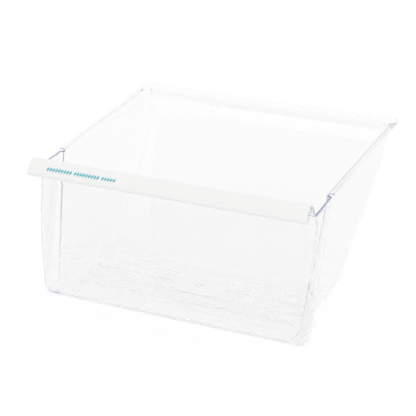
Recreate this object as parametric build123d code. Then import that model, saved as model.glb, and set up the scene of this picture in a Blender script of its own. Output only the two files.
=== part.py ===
from build123d import *
import os
from math import cos, hypot, radians, sin, tan

# Refrigerator meat drawer: a clear moulded pan with a white handle trim hooked over its front lip.
# Millimetres. +Z is up, +X runs to the right and +Y to the back of the drawer. While the pan is drawn,
# y = 0 is the front panel's face. At the end both pieces move so that the origin is the middle of the
# floor's flat underside.

# Mouldings
WALL = 2.5                   # wall of the pan, and the radius on the outer side of its tight bends
RIM_HEIGHT = 182.0           # top of the rim above the floor's underside
WING_DROP = 3.0              # how far the front wings end below the rim

# Front panel
FRONT_WIDTH = 374.0          # width at the foot
FRONT_DRAFT = 1.05           # degrees that each side opens upwards
FRONT_CORNER_R = 12.0        # lower corners, seen from the front
PANEL_BOW_HEIGHT = 88.0      # where the panel starts to lean back
PANEL_BOW_R = 380.0
PANEL_LEAN = 10.0            # degrees of lean in the upper half

# Front lip, an arch that rises from the panel and comes down in front of it
LIP_NECK_BELOW_RIM = 18.0    # where the panel turns forwards into the lip
LIP_NECK_R = 18.0
LIP_RISE = 31.8              # from the neck to the corner of the crest
LIP_LEAN = 31.7              # degrees that the lip leans forwards
LIP_CREST_R = 5.0            # underside of the crest
LIP_DROP_ANGLE = 38.0        # degrees below level of the brow in front of the crest
LIP_BROW = 11.0              # from the corner of the crest to the bend of the brow
LIP_BROW_TURN = 18.0         # degrees that the brow turns down into the front leg
LIP_BROW_R = 25.0            # underside of that bend
LIP_LEG = 5.0                # front leg, from the corner of the bend
LIP_SETBACK = 1.8            # how far each end of the lip stands in from the panel's side

# Front wings, where the pan is as wide as its panel
WING_DEPTH_FOOT = 11.0       # depth of the wings at the floor
WING_DEPTH_RIM = 68.0        # and at the rim
WING_STEP = 15.5             # how far the panel's foot stands out from the tub on each side

# Tub behind the wings
SIDE_DRAFT = 4.25            # degrees that each side wall opens upwards
SIDE_TAPER = 1.0             # degrees that each side wall opens towards the back
CORNER_R = 16.0              # rounding along the floor, the rake and the back corners
BACK_FOOT = 170.0            # depth where the raked back meets the floor
BACK_FOOT_R = 25.0
BACK_KNEE = 323.5            # depth where the back turns upright
BACK_KNEE_BELOW_RIM = 50.0
BACK_KNEE_R = 65.0
BACK_RIM = 333.5             # depth of the back wall at the rim

# Rim flanges, which slide in the cabinet's rails
FLANGE = 2.5                 # thickness
FLANGE_SIDE = 6.0            # width outside the side walls
FLANGE_REAR = 19.0           # width behind the back wall
FLANGE_CORNER_R = 10.0
FLANGE_START = 2.0           # notch between a wing and its flange

# Floor ribs: full-width rows at the front, and split rows behind them
RIB_WIDTH = 4.5
RIB_HEIGHT = 1.4
RIB_ROWS = 5
RIB_FULL_ROWS = 2
RIB_FRONT_MARGIN = 44.0      # from the panel's face to the first row
RIB_REAR_MARGIN = 27.0       # from the last row to the raked back
RIB_SIDE_MARGIN = 17.5       # from the tub's foot to the ends of the rows
RIB_MIDDLE = 77.0            # clear floor between the split rows

# Moulding gate, in a shallow well under the floor
GATE_BACK = 93.0             # depth behind the panel's face
GATE_WELL_R = 5.0
GATE_WELL = 0.8              # depth of the well
GATE_R = 1.6
GATE_LENGTH = 0.6

# Handle trim
TRIM = 1.8                   # wall of the trim
TRIM_CLEARANCE = 0.25        # between the trim and the lip
TRIM_FACE = 14.2             # lower face, from the bend of the brow to the corner of the nose
TRIM_NOSE_R = 5.0
TRIM_RETURN = 12.0           # turned back under the nose
TRIM_RETURN_ANGLE = 20.0     # degrees below level
TRIM_HOOK = 17.0             # down the back of the lip, from the corner of the crest
TRIM_SETBACK = 1.2           # how far each end of the trim stands in from the lip's end
TRIM_WEBS = 6                # webs in the nose, one at each end

# Tool sizes
OVERTRAVEL = 10.0            # how far cutting tools run past the pan


def direction(degrees):
    """Unit vector in the side view, turned from straight back towards straight up."""
    return Vector(cos(radians(degrees)), sin(radians(degrees)))


def parallel(points, radii, distance):
    """Corners and radii of the path that runs beside another, at a distance to its left."""
    points = [Vector(*p) for p in points]
    along = [(b - a).normalized() for a, b in zip(points, points[1:])]
    left = [Vector(-u.Y, u.X) for u in along]
    moved = [points[0] + left[0] * distance]
    new_radii = []
    for corner, before, after, radius in zip(points[1:], left, left[1:], radii):
        moved.append(corner + (before + after) * (distance / (1 + before.dot(after))))
        turn = before.X * after.Y - before.Y * after.X
        new_radii.append(max(radius - distance if turn > 0 else radius + distance, 0.0))
    moved.append(points[-1] + left[-1] * distance)
    return moved, new_radii


def outline(points, radii):
    """Face inside a path that is closed by a straight line from its end to its start."""
    return make_face(FilletPolyline(*points, radius=[0, *radii, 0], close=True))


def band(near, far):
    """Face between two parallel paths, each given as its corners and radii."""
    points = [*near[0], *reversed(far[0])]
    radii = [0, *near[1], 0, 0, *reversed(far[1]), 0]
    return make_face(FilletPolyline(*points, radius=radii, close=True))


def across(face, half_length):
    """Solid with a side-view face as its section, running to both sides of the middle."""
    return extrude(Plane.YZ * face, amount=half_length, both=True)


# Side view: the outside of the pan, from the front lip down, along the floor and up the back
top = RIM_HEIGHT + 4 * WALL
neck_height = RIM_HEIGHT - LIP_NECK_BELOW_RIM
neck = Vector((neck_height - PANEL_BOW_HEIGHT) * tan(radians(PANEL_LEAN)), neck_height)
crest = neck + Vector(-tan(radians(LIP_LEAN)), 1) * LIP_RISE
brow = crest + direction(180 + LIP_DROP_ANGLE) * LIP_BROW
leg_angle = 180 + LIP_DROP_ANGLE + LIP_BROW_TURN
lip_end = brow + direction(leg_angle) * LIP_LEG
lip_radii = [LIP_BROW_R, LIP_CREST_R]
bow = Vector(0, PANEL_BOW_HEIGHT)
front_foot = Vector(0, 0)
back_foot = Vector(BACK_FOOT, 0)
back_knee = Vector(BACK_KNEE, RIM_HEIGHT - BACK_KNEE_BELOW_RIM)
back_rim = Vector(BACK_RIM, RIM_HEIGHT)


def at_height(a, b, height):
    """Point of the line through two side-view points, at a height."""
    return a + (b - a) * ((height - a.Y) / (b.Y - a.Y))


lip_top = at_height(neck, crest, top)
back_top = at_height(back_knee, back_rim, top)
wing_foot = Vector(WING_DEPTH_FOOT, 0)
wing_rim = Vector(WING_DEPTH_RIM, RIM_HEIGHT)
wing_top = at_height(wing_foot, wing_rim, top)
# The tub starts halfway through the wings, so that its front end lies inside them
tub_foot = (front_foot + wing_foot) * 0.5
tub_top = (lip_top + wing_top) * 0.5

wing_path = [lip_top, neck, bow, front_foot, wing_foot, wing_top]
wing_radii = [LIP_NECK_R, PANEL_BOW_R, 0, 0]
tub_path = [tub_foot, back_foot, back_knee, back_top]
tub_radii = [BACK_FOOT_R, BACK_KNEE_R]

front_slope = tan(radians(FRONT_DRAFT))
side_slope = tan(radians(SIDE_DRAFT))
taper_slope = tan(radians(SIDE_TAPER))
long = BACK_RIM + FLANGE_REAR + OVERTRAVEL


def front_half(height):
    """Half the width of the front panel and wings at a height."""
    return FRONT_WIDTH / 2 + height * front_slope


def tub_half(depth, height):
    """Half the width outside the tub at a depth and a height."""
    return FRONT_WIDTH / 2 - WING_STEP + height * side_slope + depth * taper_slope


def wing_rear(height):
    """Depth of the back of the wings at a height."""
    return at_height(wing_foot, wing_rim, height).X


def wing_body(inset):
    """Wide front of the pan, all faces moved inwards by the inset."""
    section = outline(*parallel(wing_path, wing_radii, inset))
    side = inset * hypot(1, front_slope)
    low, high = inset, top + OVERTRAVEL
    corners = [
        (-front_half(high) + side, high),
        (-front_half(low) + side, low),
        (front_half(low) - side, low),
        (front_half(high) - side, high),
    ]
    front_view = outline(corners, [FRONT_CORNER_R - inset] * 2)
    prism = extrude(Plane.XZ * front_view, amount=long, both=True)
    return across(section, FRONT_WIDTH) & prism


def round_wings(body):
    """Wide front with rounded edges round the panel's face and round the back of the wings."""
    def is_round(edge):
        middle = edge.position_at(0.5)
        beside = abs(middle.X) > front_half(0) - FRONT_CORNER_R
        ahead = middle.Y < neck.X + WALL and (beside or middle.Z < WALL)
        behind = beside and abs(middle.Y - wing_rear(middle.Z)) < WALL
        return middle.Z < top - WALL and (ahead or behind)

    slanted = [f for f in body.faces() if abs(f.normal_at().Y) > 0.5]
    edges = ShapeList({e for f in slanted for e in f.edges() if is_round(e)})
    return fillet(edges, WALL)


def tub_body(inset):
    """Tub behind the wings, all faces moved inwards by the inset, with rounded corners."""
    points, radii = parallel(tub_path, tub_radii, inset)
    section = outline([*points, tub_top], [*radii, 0])
    body = across(section, FRONT_WIDTH)
    for side in (-1, 1):
        outward = Vector(side, -taper_slope, -side_slope)
        foot = Vector(side * (tub_half(0, 0) - inset * outward.length), 0, 0)
        body = split(body, bisect_by=Plane(origin=foot, z_dir=outward), keep=Keep.BOTTOM)
    sides = body.faces().sort_by(Axis.X)
    seams = [e for f in (sides[0], sides[-1]) for e in f.edges() if is_tub_seam(e)]
    return fillet(seams, CORNER_R - inset)


def is_tub_seam(edge):
    """True for the edges where a side wall meets the floor, the rake or the back wall."""
    middle = edge.position_at(0.5)
    front = at_height(tub_foot, tub_top, middle.Z)
    return middle.Z < top - 2 * WALL and middle.Y > front.X + WALL


def inside_space():
    """Space inside the pan, with rounded bends where the wings join the tub."""
    space = wing_body(WALL) + tub_body(WALL)

    def is_bend(edge):
        middle = edge.position_at(0.5)
        between = (front_half(middle.Z) + tub_half(middle.Y, middle.Z)) / 2 - WALL
        at_rear = abs(middle.Y - wing_rear(middle.Z)) < 2 * WALL
        upright = abs(edge.position_at(0).Z - edge.position_at(1).Z) > 2 * WALL
        return upright and at_rear and abs(middle.X) < between

    return fillet(space.edges().filter_by(is_bend), WALL)


def rim_flange(inner):
    """Flat flange along both sides and the back, cut by the inside of the pan."""
    start = WING_DEPTH_RIM + FLANGE_START
    end = BACK_RIM + FLANGE_REAR
    near = tub_half(start, RIM_HEIGHT) + FLANGE_SIDE
    far = tub_half(end, RIM_HEIGHT) + FLANGE_SIDE
    plan = outline([(near, start), (far, end), (-far, end), (-near, start)], [FLANGE_CORNER_R] * 2)
    return extrude(Plane.XY.offset(RIM_HEIGHT - FLANGE) * plan, amount=FLANGE) - inner


def floor_ribs():
    """Half-round ribs that keep the contents off the floor."""
    pitch = (BACK_FOOT - RIB_FRONT_MARGIN - RIB_REAR_MARGIN) / (RIB_ROWS - 1)
    reach = FRONT_WIDTH / 2 - WING_STEP - RIB_SIDE_MARGIN
    side_length = reach - RIB_MIDDLE / 2
    side_middle = (reach + RIB_MIDDLE / 2) / 2
    arch = ThreePointArc((-RIB_WIDTH / 2, 0), (0, RIB_HEIGHT), (RIB_WIDTH / 2, 0))
    section = make_face([arch, Line(arch @ 1, arch @ 0)])
    ribs = []
    for row in range(RIB_ROWS):
        depth = RIB_FRONT_MARGIN + row * pitch
        pieces = [(0, 2 * reach)]
        if row >= RIB_FULL_ROWS:
            pieces = [(-side_middle, side_length), (side_middle, side_length)]
        for middle, length in pieces:
            ribs.append(Pos(middle, 0, 0) * across(Pos(depth, WALL) * section, length / 2))
    return ribs


def front_lip():
    """Arched lip above the panel."""
    points = [lip_end, brow, crest, at_height(neck, crest, RIM_HEIGHT - WING_DROP - WALL)]
    section = band((points, lip_radii), parallel(points, lip_radii, WALL))
    return across(section, front_half(RIM_HEIGHT) - LIP_SETBACK)


def round_rim(pan):
    """Pan with the bend between its walls and the rim flange rounded."""
    def is_bend(edge):
        middle = edge.position_at(0.5)
        on_top = abs(middle.Z - RIM_HEIGHT) < WALL / 10
        inside = middle.Y < BACK_RIM and abs(middle.X) < tub_half(middle.Y, RIM_HEIGHT) - WALL / 2
        return on_top and inside and middle.Y > WING_DEPTH_RIM + WALL / 2

    return fillet(pan.edges().filter_by(is_bend), WALL)


def make_pan():
    """One-piece clear pan."""
    inner = inside_space()
    shell = round_wings(wing_body(0)) + tub_body(0) - inner
    above = 2 * OVERTRAVEL + top - RIM_HEIGHT
    wide = 2 * FRONT_WIDTH
    shell -= Pos(0, 0, RIM_HEIGHT) * Box(wide, 2 * long, above, align=(Align.CENTER, Align.CENTER, Align.MIN))
    wing_top_cut = Box(wide, long, above, align=(Align.CENTER, Align.MAX, Align.MIN))
    shell -= Pos(0, WING_DEPTH_RIM, RIM_HEIGHT - WING_DROP) * wing_top_cut
    pan = round_rim(shell + rim_flange(inner)) + front_lip()
    pan += floor_ribs()
    gate = Pos(0, GATE_BACK, 0)
    pan -= gate * Cylinder(GATE_WELL_R, 2 * GATE_WELL)
    pan += gate * Pos(0, 0, GATE_WELL) * Cylinder(
        GATE_R, GATE_LENGTH, align=(Align.CENTER, Align.CENTER, Align.MAX))
    return pan


def make_front_handle():
    """White trim: a hook over the lip, a bowed face, a rounded nose and a return that fingers pull on."""
    hook_end = crest + (neck - crest).normalized() * TRIM_HOOK
    stand_off = WALL + TRIM_CLEARANCE + TRIM
    over_lip, over_radii = parallel([lip_end, brow, crest, hook_end], lip_radii, stand_off)
    nose = over_lip[1] + direction(leg_angle) * TRIM_FACE
    tail = nose + direction(-TRIM_RETURN_ANGLE) * TRIM_RETURN
    outside = [tail, nose, *over_lip[1:]]
    outside_radii = [TRIM_NOSE_R, *over_radii]
    inside, inside_radii = parallel(outside, outside_radii, -TRIM)
    skin = band((outside, outside_radii), (inside, inside_radii))
    half_length = front_half(RIM_HEIGHT) - LIP_SETBACK - TRIM_SETBACK
    handle = across(skin, half_length)
    # Webs fill the nose beyond the end of the lip's front leg
    past_lip = lip_end + direction(leg_angle) * TRIM_CLEARANCE
    reach = TRIM_FACE + TRIM_RETURN
    past_end = Rectangle(reach, 2 * reach, align=(Align.MIN, Align.CENTER))
    web_face = outline(inside, inside_radii) & Pos(past_lip) * Rot(0, 0, leg_angle) * past_end
    pitch = (2 * half_length - TRIM) / (TRIM_WEBS - 1)
    for number in range(TRIM_WEBS):
        web = extrude(Plane.YZ * web_face, amount=TRIM)
        handle += Pos(-half_length + number * pitch, 0, 0) * web
    return handle


# The flat of the floor runs from the rounded front edge to the bend of the rake
rake = back_knee - back_foot
bend_half = radians(Vector(1, 0).get_angle(rake)) / 2
flat_end = BACK_FOOT - BACK_FOOT_R * tan(bend_half)
to_origin = Pos(0, -(WALL + flat_end) / 2, 0)

os.makedirs("parts", exist_ok=True)
export_step(to_origin * make_pan(), "parts/pan.step")
export_step(to_origin * make_front_handle(), "parts/front_handle.step")
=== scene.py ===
"""Refrigerator meat drawer: a clear moulded pan with a white handle trim, in a plain white studio."""
import logging
from dataclasses import dataclass, field
from enum import Enum
from math import cos, radians, sin, tan
from typing import Any, Mapping, Optional, Protocol

import bmesh
import bpy
from mathutils import Matrix, Vector
from mathutils.bvhtree import BVHTree


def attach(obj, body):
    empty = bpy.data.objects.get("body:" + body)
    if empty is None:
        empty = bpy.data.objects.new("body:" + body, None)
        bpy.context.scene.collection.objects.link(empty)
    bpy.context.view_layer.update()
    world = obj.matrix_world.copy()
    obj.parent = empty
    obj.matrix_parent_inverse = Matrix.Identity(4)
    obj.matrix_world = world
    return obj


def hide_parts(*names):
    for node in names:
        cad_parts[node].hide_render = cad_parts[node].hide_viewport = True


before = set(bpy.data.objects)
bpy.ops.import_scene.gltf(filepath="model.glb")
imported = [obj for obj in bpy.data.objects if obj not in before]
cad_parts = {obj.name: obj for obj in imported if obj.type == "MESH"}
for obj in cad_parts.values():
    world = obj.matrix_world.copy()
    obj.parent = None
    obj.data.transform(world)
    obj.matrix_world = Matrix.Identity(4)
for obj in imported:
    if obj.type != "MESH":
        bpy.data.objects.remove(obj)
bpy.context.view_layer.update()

log = logging.getLogger("meat_drawer")

MM = 0.001                     # metres
BODY = "root"                  # the one rigid body
WHITE = "#ffffff"
COLOUR_A, COLOUR_B, COLOUR_OUT = 6, 7, 2    # colour sockets of a Mix node, by number
FLOAT_A, FLOAT_B, FLOAT_OUT = 2, 3, 0       # its plain number sockets


class Slot(Enum):
    """Material slots of the record."""

    CLEAR = "clear_plastic"
    WHITE = "white_plastic"
    INK = "teal_ink"


def linear(colour: str) -> tuple[float, float, float, float]:
    """Turns an sRGB hex colour to linear values.

    Args:
        colour: Colour as "#rrggbb".

    Returns:
        Linear red, green, blue and an alpha of 1.
    """
    parts = [int(colour[i:i + 2], 16) / 255 for i in (1, 3, 5)]
    red, green, blue = (c / 12.92 if c <= 0.04045 else ((c + 0.055) / 1.055) ** 2.4 for c in parts)
    return red, green, blue, 1.0


def add_node(
    tree: bpy.types.NodeTree,
    kind: str,
    settings: Optional[Mapping[str, Any]] = None,
    values: Optional[Mapping[Any, Any]] = None,
    links: Optional[Mapping[Any, bpy.types.NodeSocket]] = None,
) -> bpy.types.Node:
    """Adds a node with its settings and links.

    Args:
        tree: Node tree that gets the node.
        kind: Type of the node.
        settings: Properties of the node by name.
        values: Fixed input values by socket name or number.
        links: Outputs of other nodes by socket name or number.

    Returns:
        The new node.
    """
    node = tree.nodes.new(kind)
    for name, value in (settings or {}).items():
        setattr(node, name, value)
    for name, value in (values or {}).items():
        node.inputs[name].default_value = value
    for name, output in (links or {}).items():
        tree.links.new(output, node.inputs[name])
    return node


def new_material(name: str) -> tuple[bpy.types.Material, bpy.types.NodeTree]:
    """Makes an empty node material.

    Args:
        name: Name of the real material.

    Returns:
        The material and its node tree.
    """
    material = bpy.data.materials.new(name)
    material.use_nodes = True
    material.node_tree.nodes.clear()
    return material, material.node_tree


def in_view(tree: bpy.types.NodeTree) -> bpy.types.NodeSocket:
    """Tells what the camera sees, straight or in glossy and clear pieces, from what only lights the object.

    Args:
        tree: Node tree that gets the nodes.

    Returns:
        An output that is 1 where it is seen and 0 where it only lights.
    """
    path = add_node(tree, "ShaderNodeLightPath").outputs
    seen = path["Is Camera Ray"]
    for kind in ("Is Glossy Ray", "Is Transmission Ray"):
        either = add_node(
            tree, "ShaderNodeMath", settings={"operation": "MAXIMUM"}, links={0: seen, 1: path[kind]})
        seen = either.outputs[0]
    return seen


class Finish(Protocol):
    """Anything that can make its own material."""

    def material(self) -> bpy.types.Material:
        """Makes the material."""


@dataclass(frozen=True)
class PaintedEdgeShade:
    """Stretch of clear edges that get painted dark shade in their base colour, standing in for how they look
    dark because light leaves them after a long way through a wall.
    """

    half_width_mm: tuple[float, float]
    depth_mm: tuple[float, float]
    height_mm: tuple[float, float]
    strength: float

    def mask(self, tree: bpy.types.NodeTree, place: bpy.types.NodeSocket) -> bpy.types.NodeSocket:
        """Picks out the stretch that gets the painted shade.

        Args:
            tree: Node tree that gets the nodes.
            place: Place on the piece.

        Returns:
            An output that is the strength of the painted shade on the stretch and 0 elsewhere.
        """
        apart = add_node(tree, "ShaderNodeVectorMath", settings={"operation": "ABSOLUTE"}, links={0: place})
        across = add_node(tree, "ShaderNodeSeparateXYZ", links={0: apart.outputs[0]}).outputs["X"]
        axes = add_node(tree, "ShaderNodeSeparateXYZ", links={0: place}).outputs
        tests = ((across, self.half_width_mm), (axes["Y"], self.depth_mm), (axes["Z"], self.height_mm))
        factors: dict[int, bpy.types.NodeSocket] = {}
        for value, (low, high) in tests:
            within = add_node(
                tree, "ShaderNodeMath", settings={"operation": "COMPARE"},
                values={1: (low + high) / 2 * MM, 2: (high - low) / 2 * MM}, links={0: value})
            factors[1] = within.outputs[0]
            product = add_node(
                tree, "ShaderNodeMath", settings={"operation": "MULTIPLY"},
                values={0: self.strength}, links=factors)
            factors[0] = product.outputs[0]
        return factors[0]


# Painted dark shade on the top edges of the front wings, and on the ends of the lip beside the trim.
WING_TOP_SHADE_PAINT = PaintedEdgeShade((150.0, 200.0), (-110.0, -12.5), (178.6, 179.4), 1.0)
LIP_END_SHADE_PAINT = PaintedEdgeShade((188.3, 188.8), (-110.0, -60.0), (165.0, 197.0), 0.7)


@dataclass(frozen=True)
class CrystalPolystyrene:
    """Clear general-purpose polystyrene, injection moulded in a polished tool."""

    name: str = "crystal_polystyrene"
    ior: float = 1.59
    polish: float = 0.005          # roughness of the polished faces
    scuff: float = 0.02            # roughness in the faint handling marks
    body: str = "#fafafa"          # what one wall lets through
    tint: str = "#8f94bc"          # what a long way through the plastic leaves of white
    density: float = 0.45          # per metre
    painted_edge_shade: str = "#5f6c9c"          # painted shade: base colour painted onto the dark edges
    # stretches that get the painted edge shade
    edges: tuple[PaintedEdgeShade, ...] = (WING_TOP_SHADE_PAINT, LIP_END_SHADE_PAINT)
    flow_mm: float = 55.0          # length of the flow waves left by moulding
    flow_depth_mm: float = 0.02
    scuff_mm: float = 9.0          # size of the handling marks
    scuff_cover: tuple[float, float] = (0.5, 0.8)    # noise levels where a mark starts and is full

    def material(self) -> bpy.types.Material:
        """Clear and hard: walls all but vanish, edges that show a long way through go dark blue from the
        absorption, and some edges get a painted dark blue shade.
        """
        material, tree = new_material(self.name)
        place = add_node(tree, "ShaderNodeTexCoord").outputs["Object"]
        marks = add_node(
            tree, "ShaderNodeTexNoise",
            values={"Scale": 1 / (self.scuff_mm * MM), "Detail": 4.0, "Roughness": 0.6},
            links={"Vector": place})
        start, full = self.scuff_cover
        rough = add_node(
            tree, "ShaderNodeMapRange",
            values={"From Min": start, "From Max": full, "To Min": self.polish, "To Max": self.scuff},
            links={"Value": marks.outputs["Fac"]})
        flow = add_node(
            tree, "ShaderNodeTexNoise", values={"Scale": 1 / (self.flow_mm * MM), "Detail": 1.0},
            links={"Vector": place})
        bump = add_node(
            tree, "ShaderNodeBump", values={"Strength": 1.0, "Distance": self.flow_depth_mm * MM},
            links={"Height": flow.outputs["Fac"]})
        shader = add_node(
            tree, "ShaderNodeBsdfPrincipled",
            values={"IOR": self.ior, "Transmission Weight": 1.0},
            links={"Base Color": self.tone(tree, place), "Roughness": rough.outputs["Result"],
                   "Normal": bump.outputs["Normal"]})
        inside = add_node(
            tree, "ShaderNodeVolumeAbsorption", values={"Color": linear(self.tint), "Density": self.density})
        add_node(
            tree, "ShaderNodeOutputMaterial",
            links={"Surface": shader.outputs["BSDF"], "Volume": inside.outputs["Volume"]})
        return material

    def tone(self, tree: bpy.types.NodeTree, place: bpy.types.NodeSocket) -> bpy.types.NodeSocket:
        """Colours the walls, and paints dark shade onto their dark edges.

        Args:
            tree: Node tree that gets the nodes.
            place: Place on the piece.

        Returns:
            The colour.
        """
        # masks of the painted edge shade, joined into one
        masks = [painted_edge_shade.mask(tree, place) for painted_edge_shade in self.edges]
        dark = masks[0]
        for mask in masks[1:]:
            dark = add_node(
                tree, "ShaderNodeMath", settings={"operation": "MAXIMUM"},
                links={0: dark, 1: mask}).outputs[0]
        # painted shade: the dark edge colour is painted into the base colour where the masks are on
        mix = add_node(
            tree, "ShaderNodeMix", settings={"data_type": "RGBA"},
            values={COLOUR_A: linear(self.body), COLOUR_B: linear(self.painted_edge_shade)}, links={0: dark})
        return mix.outputs[COLOUR_OUT]


@dataclass(frozen=True)
class WhiteAbs:
    """White ABS, injection moulded with a fine even grain."""

    name: str = "white_abs"
    colour: str = "#f7f7f6"
    shade: str = "#f5f5f4"         # where the pigment is a little thinner
    ior: float = 1.54
    roughness: float = 0.36
    roughness_spread: float = 0.06
    cloud_mm: float = 60.0         # size of the slow change in tone
    grain_mm: float = 0.9          # a real grain of about 0.3 mm, drawn coarser so that it shows
    grain_depth_mm: float = 0.012
    grain_strength: float = 0.6

    def material(self) -> bpy.types.Material:
        """Opaque and softly glossy: a wide dull highlight on a plain white."""
        material, tree = new_material(self.name)
        place = add_node(tree, "ShaderNodeTexCoord").outputs["Object"]
        cloud = add_node(
            tree, "ShaderNodeTexNoise", values={"Scale": 1 / (self.cloud_mm * MM), "Detail": 2.0},
            links={"Vector": place})
        tone = add_node(
            tree, "ShaderNodeMix", settings={"data_type": "RGBA"},
            values={COLOUR_A: linear(self.colour), COLOUR_B: linear(self.shade)},
            links={0: cloud.outputs["Fac"]})
        grain = add_node(
            tree, "ShaderNodeTexNoise", values={"Scale": 1 / (self.grain_mm * MM), "Detail": 2.0},
            links={"Vector": place})
        low, high = self.roughness - self.roughness_spread, self.roughness + self.roughness_spread
        rough = add_node(
            tree, "ShaderNodeMapRange", values={"To Min": low, "To Max": high},
            links={"Value": grain.outputs["Fac"]})
        bump = add_node(
            tree, "ShaderNodeBump",
            values={"Strength": self.grain_strength, "Distance": self.grain_depth_mm * MM},
            links={"Height": grain.outputs["Fac"]})
        shader = add_node(
            tree, "ShaderNodeBsdfPrincipled", values={"IOR": self.ior},
            links={"Base Color": tone.outputs[COLOUR_OUT], "Roughness": rough.outputs["Result"],
                   "Normal": bump.outputs["Normal"]})
        add_node(tree, "ShaderNodeOutputMaterial", links={"Surface": shader.outputs["BSDF"]})
        return material


@dataclass(frozen=True)
class PadPrintInk:
    """Teal pad-printing ink on plastic."""

    name: str = "teal_pad_print_ink"
    colour: str = "#62bcc6"
    thin: str = "#8fd0d6"          # where the pad left less ink
    ior: float = 1.5
    roughness: float = 0.5
    roughness_spread: float = 0.1
    speck_mm: float = 0.8          # ink specks, drawn coarser than life so that they show
    thin_cover: tuple[float, float] = (0.45, 0.75)    # noise levels where the ink starts to thin and is thin

    def material(self) -> bpy.types.Material:
        """A thin dull film, a little uneven where the pad lifted."""
        material, tree = new_material(self.name)
        place = add_node(tree, "ShaderNodeTexCoord").outputs["Object"]
        speck = add_node(
            tree, "ShaderNodeTexNoise", values={"Scale": 1 / (self.speck_mm * MM), "Detail": 3.0},
            links={"Vector": place})
        start, full = self.thin_cover
        cover = add_node(
            tree, "ShaderNodeMapRange", values={"From Min": start, "From Max": full},
            links={"Value": speck.outputs["Fac"]})
        tone = add_node(
            tree, "ShaderNodeMix", settings={"data_type": "RGBA"},
            values={COLOUR_A: linear(self.colour), COLOUR_B: linear(self.thin)},
            links={0: cover.outputs["Result"]})
        low, high = self.roughness - self.roughness_spread, self.roughness + self.roughness_spread
        rough = add_node(
            tree, "ShaderNodeMapRange", values={"To Min": low, "To Max": high},
            links={"Value": speck.outputs["Fac"]})
        shader = add_node(
            tree, "ShaderNodeBsdfPrincipled", values={"IOR": self.ior},
            links={"Base Color": tone.outputs[COLOUR_OUT], "Roughness": rough.outputs["Result"]})
        add_node(tree, "ShaderNodeOutputMaterial", links={"Surface": shader.outputs["BSDF"]})
        return material


@dataclass(frozen=True)
class MattPaper:
    """Matt white background paper under the drawer."""

    name: str = "matt_white_paper"
    colour: str = "#f0f0f0"
    shade: str = "#eeeeee"
    glow: float = 0.178            # backlight that only the camera sees, straight or in the plastic
    roughness: float = 0.9
    cloud_mm: float = 400.0

    def material(self) -> bpy.types.Material:
        """Dull and even, so that it takes only a soft shadow, and backlit so that it looks white."""
        material, tree = new_material(self.name)
        place = add_node(tree, "ShaderNodeTexCoord").outputs["Object"]
        cloud = add_node(
            tree, "ShaderNodeTexNoise", values={"Scale": 1 / (self.cloud_mm * MM)}, links={"Vector": place})
        tone = add_node(
            tree, "ShaderNodeMix", settings={"data_type": "RGBA"},
            values={COLOUR_A: linear(self.colour), COLOUR_B: linear(self.shade)},
            links={0: cloud.outputs["Fac"]})
        backlight = add_node(
            tree, "ShaderNodeMapRange", values={"To Min": 0.0, "To Max": self.glow},
            links={"Value": in_view(tree)})
        shader = add_node(
            tree, "ShaderNodeBsdfPrincipled",
            values={"Roughness": self.roughness, "Specular IOR Level": 0.0, "Emission Color": linear(WHITE)},
            links={"Base Color": tone.outputs[COLOUR_OUT], "Emission Strength": backlight.outputs["Result"]})
        add_node(tree, "ShaderNodeOutputMaterial", links={"Surface": shader.outputs["BSDF"]})
        return material


def place_piece(name: str, work: bmesh.types.BMesh, finish: Finish) -> bpy.types.Object:
    """Turns a finished bmesh into a piece of the drawer.

    Args:
        name: Name of the piece.
        work: Mesh, which is used up.
        finish: Finish of the whole piece.

    Returns:
        The piece, riding on the body.
    """
    mesh = bpy.data.meshes.new(name)
    work.to_mesh(mesh)
    work.free()
    mesh.materials.append(finish.material())
    piece = bpy.data.objects.new(name, mesh)
    bpy.context.scene.collection.objects.link(piece)
    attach(piece, BODY)
    log.info("%s: %d faces", name, len(mesh.polygons))
    return piece


@dataclass
class Moulding:
    """One moulding, dressed over its own solid."""

    name: str
    node: str
    slot: Slot
    finish: Finish
    merge_mm: float = 0.002        # corners closer than this are one corner
    crease_deg: float = 28.0       # edges that turn by more stay sharp
    face_weight: int = 100         # how far large faces lead the shading

    def build(self) -> bpy.types.Object:
        """Makes the closed, smoothly shaded moulding.

        Returns:
            The piece that stands for the solid.
        """
        work = bmesh.new()
        work.from_mesh(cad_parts[self.node].data)
        bmesh.ops.remove_doubles(work, verts=work.verts, dist=self.merge_mm * MM)
        bmesh.ops.dissolve_degenerate(work, edges=work.edges, dist=self.merge_mm * MM)
        piece = place_piece(self.name, work, self.finish)
        piece.data.shade_smooth()
        piece.data.set_sharp_from_angle(angle=radians(self.crease_deg))
        even = piece.modifiers.new("even_normals", "WEIGHTED_NORMAL")
        even.mode = "FACE_AREA"
        even.weight = self.face_weight
        even.keep_sharp = True
        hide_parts(self.node)
        return piece


class Mark(Enum):
    """Simple shapes of the printed band, by their number of sides."""

    LOZENGE = 4
    BEAD = 24


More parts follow.
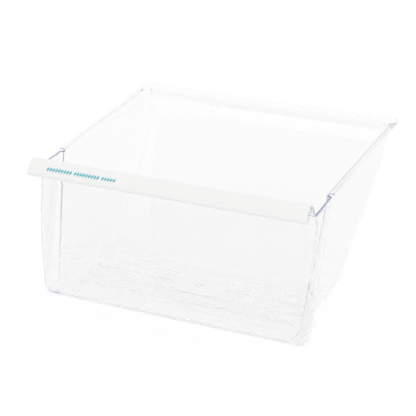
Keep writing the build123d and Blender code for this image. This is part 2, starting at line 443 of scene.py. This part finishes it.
@dataclass
class PrintedBand:
    """Band of simple printed shapes on the face of the trim."""

    finish: Finish = field(default_factory=PadPrintInk)
    name: str = "printed_band"
    start_mm: float = -161.0       # left end of the band, across the drawer
    face_mm: tuple[float, float] = (-100.6, 190.8)    # middle of the band, in depth and height
    face_tilt_deg: float = 49.0    # of the face's outward normal, above level to the front
    height_mm: float = 6.4
    slant: float = 0.25            # how far the shapes lean over, for each millimetre of height
    lozenge_half_mm: float = 1.9   # half widths of the shapes
    bead_half_mm: float = 1.6
    bead_share: float = 2 / 3      # height of a bead beside a lozenge
    film_mm: float = 0.05
    lift_mm: float = 0.1           # height of the shapes over the face before they get their thickness
    reach_mm: float = 20.0         # how far off the face the search for it starts
    cuts: int = 3                  # of each edge, so that the shapes follow the bowed face
    marks: tuple[tuple[Mark, int], ...] = ((Mark.LOZENGE, 9), (Mark.LOZENGE, 9), (Mark.BEAD, 5))
    pitch_mm: float = 4.0
    gap_mm: float = 2.6

    def build(self, carrier: bpy.types.Object) -> bpy.types.Object:
        """Prints the shapes onto the trim.

        Args:
            carrier: The trim.

        Returns:
            The print.
        """
        work = bmesh.new()
        along = self.start_mm
        for mark, count in self.marks:
            for _ in range(count):
                self.add_mark(work, mark, along + self.pitch_mm / 2)
                along += self.pitch_mm
            along += self.gap_mm
        self.lay_on(work, carrier)
        piece = place_piece(self.name, work, self.finish)
        return piece

    def add_mark(self, work: bmesh.types.BMesh, mark: Mark, along_mm: float) -> None:
        """Adds one flat shape.

        Args:
            work: Mesh that gets the shape.
            mark: Kind of shape.
            along_mm: Its middle, across the drawer.
        """
        half_width, half_height = {
            Mark.LOZENGE: (self.lozenge_half_mm, self.height_mm / 2),
            Mark.BEAD: (self.bead_half_mm, self.height_mm / 2 * self.bead_share),
        }[mark]
        stretch_and_lean = Matrix((
            (half_width, half_height * self.slant, 0, along_mm),
            (0, half_height, 0, 0),
            (0, 0, 1, 0),
            (0, 0, 0, 1)))
        bmesh.ops.create_circle(
            work, cap_ends=True, cap_tris=True, segments=mark.value, radius=1.0, matrix=stretch_and_lean)

    def lay_on(self, work: bmesh.types.BMesh, carrier: bpy.types.Object) -> None:
        """Moves the flat shapes onto the face and gives them the ink's thickness.

        Args:
            work: Mesh with the shapes, flat and in millimetres.
            carrier: Piece that carries them.
        """
        bmesh.ops.subdivide_edges(work, edges=work.edges[:], cuts=self.cuts, use_grid_fill=True)
        tree = BVHTree.FromObject(carrier, bpy.context.evaluated_depsgraph_get())
        tilt = radians(self.face_tilt_deg)
        outward = Vector((0, -cos(tilt), sin(tilt)))
        upward = Vector((0, sin(tilt), cos(tilt)))
        middle = Vector((0, *self.face_mm)) * MM
        for corner in work.verts:
            flat = middle + Vector((corner.co.x, 0, 0)) * MM + upward * corner.co.y * MM
            spot, _, _, _ = tree.ray_cast(flat + outward * self.reach_mm * MM, -outward)
            corner.co = spot + outward * self.lift_mm * MM
        bmesh.ops.recalc_face_normals(work, faces=work.faces)
        bmesh.ops.solidify(work, geom=work.faces[:], thickness=self.film_mm * MM)


@dataclass
class Studio:
    """Camera, white floor and soft light."""

    target_mm: tuple[float, float, float] = (-23.6, 97.185, 77.12)
    azimuth_deg: float = 23.097
    elevation_deg: float = 24.839
    distance_mm: float = 1773.37
    half_view_deg: float = 9.286
    sensor_mm: float = 36.0
    clip_m: tuple[float, float] = (0.05, 50.0)
    floor_mm: float = 3000.0
    floor_drop_mm: float = 0.3
    floor_finish: Finish = field(default_factory=MattPaper)
    dome: float = 0.95             # light from all round
    room_shade: float = 0.35       # how much darker the unlit room in front is than the white walls
    room_at: tuple[float, float, float] = (-0.35, -0.7, 0.62)
    room_edge_deg: tuple[float, float] = (70.0, 25.0)    # where that shade starts and is full
    lamp: float = 0.74             # softer light from the front and left
    lamp_spread_deg: float = 80.0
    lamp_from: tuple[float, float, float] = (-0.3, -0.8, 0.7)
    bounces: int = 256             # light runs a long way inside clear walls

    def build(self) -> None:
        """Makes the whole studio."""
        scene = bpy.context.scene
        scene.view_settings.view_transform = "Standard"
        scene.cycles.max_bounces = self.bounces
        scene.cycles.transmission_bounces = self.bounces
        scene.cycles.glossy_bounces = self.bounces
        scene.cycles.blur_glossy = 0.0
        self.camera()
        self.floor()
        self.sky()
        self.softbox()

    def camera(self) -> None:
        """Sets the camera where the photographer stood."""
        turn, lift = radians(self.azimuth_deg), radians(self.elevation_deg)
        back = Vector((sin(turn) * cos(lift), -cos(turn) * cos(lift), sin(lift)))
        data = bpy.data.cameras.new("camera")
        data.sensor_width = self.sensor_mm
        data.lens = self.sensor_mm / 2 / tan(radians(self.half_view_deg))
        data.clip_start, data.clip_end = self.clip_m
        camera = bpy.data.objects.new("camera", data)
        camera.location = (Vector(self.target_mm) + back * self.distance_mm) * MM
        camera.rotation_euler = (-back).to_track_quat("-Z", "Y").to_euler()
        bpy.context.scene.collection.objects.link(camera)
        bpy.context.scene.camera = camera

    def floor(self) -> None:
        """Lays the floor just under the drawer."""
        work = bmesh.new()
        bmesh.ops.create_grid(work, x_segments=2, y_segments=2, size=self.floor_mm / 2 * MM)
        bmesh.ops.translate(work, verts=work.verts, vec=(0, 0, -self.floor_drop_mm * MM))
        mesh = bpy.data.meshes.new("floor")
        work.to_mesh(mesh)
        work.free()
        mesh.materials.append(self.floor_finish.material())
        floor = bpy.data.objects.new("floor", mesh)
        bpy.context.scene.collection.objects.link(floor)

    def sky(self) -> None:
        """Wraps the studio in white light, with a darker room in front that gives glossy faces their tone."""
        world = bpy.data.worlds.new("white_studio")
        world.use_nodes = True
        tree = world.node_tree
        tree.nodes.clear()
        strength = add_node(
            tree, "ShaderNodeMapRange", values={"To Min": self.dome, "To Max": 1.0},
            links={"Value": in_view(tree)})
        aim = add_node(tree, "ShaderNodeTexCoord").outputs["Generated"]
        ahead = add_node(
            tree, "ShaderNodeVectorMath", settings={"operation": "DOT_PRODUCT"}, values={1: self.room_at},
            links={0: aim})
        start, full = (cos(radians(a)) for a in self.room_edge_deg)
        shade = add_node(
            tree, "ShaderNodeMapRange", settings={"interpolation_type": "SMOOTHSTEP"},
            values={"From Min": start, "From Max": full, "To Min": 1.0, "To Max": 1 - self.room_shade},
            links={"Value": ahead.outputs["Value"]})
        level = add_node(
            tree, "ShaderNodeMath", settings={"operation": "MULTIPLY"},
            links={0: strength.outputs["Result"], 1: shade.outputs["Result"]})
        straight = add_node(tree, "ShaderNodeLightPath").outputs["Is Camera Ray"]
        level = add_node(
            tree, "ShaderNodeMix", settings={"data_type": "FLOAT"}, values={FLOAT_B: 1.0},
            links={0: straight, FLOAT_A: level.outputs[0]})
        light = add_node(
            tree, "ShaderNodeBackground", values={"Color": linear(WHITE)},
            links={"Strength": level.outputs[FLOAT_OUT]})
        add_node(tree, "ShaderNodeOutputWorld", links={"Surface": light.outputs["Background"]})
        bpy.context.scene.world = world

    def softbox(self) -> None:
        """Hangs a very wide soft light in front of the drawer, which glossy faces do not mirror."""
        data = bpy.data.lights.new("softbox", "SUN")
        data.energy = self.lamp
        data.angle = radians(self.lamp_spread_deg)
        lamp = bpy.data.objects.new("softbox", data)
        lamp.rotation_euler = (-Vector(self.lamp_from)).to_track_quat("-Z", "Y").to_euler()
        lamp.visible_glossy = False
        bpy.context.scene.collection.objects.link(lamp)


def main() -> None:
    """Builds the drawer and its studio."""
    logging.basicConfig(level=logging.INFO, format="%(name)s %(message)s")
    Studio().build()
    Moulding("clear_pan", "pan", Slot.CLEAR, CrystalPolystyrene()).build()
    trim = Moulding("handle_trim", "front_handle", Slot.WHITE, WhiteAbs()).build()
    PrintedBand().build(trim)


if __name__ == "__main__":
    main()
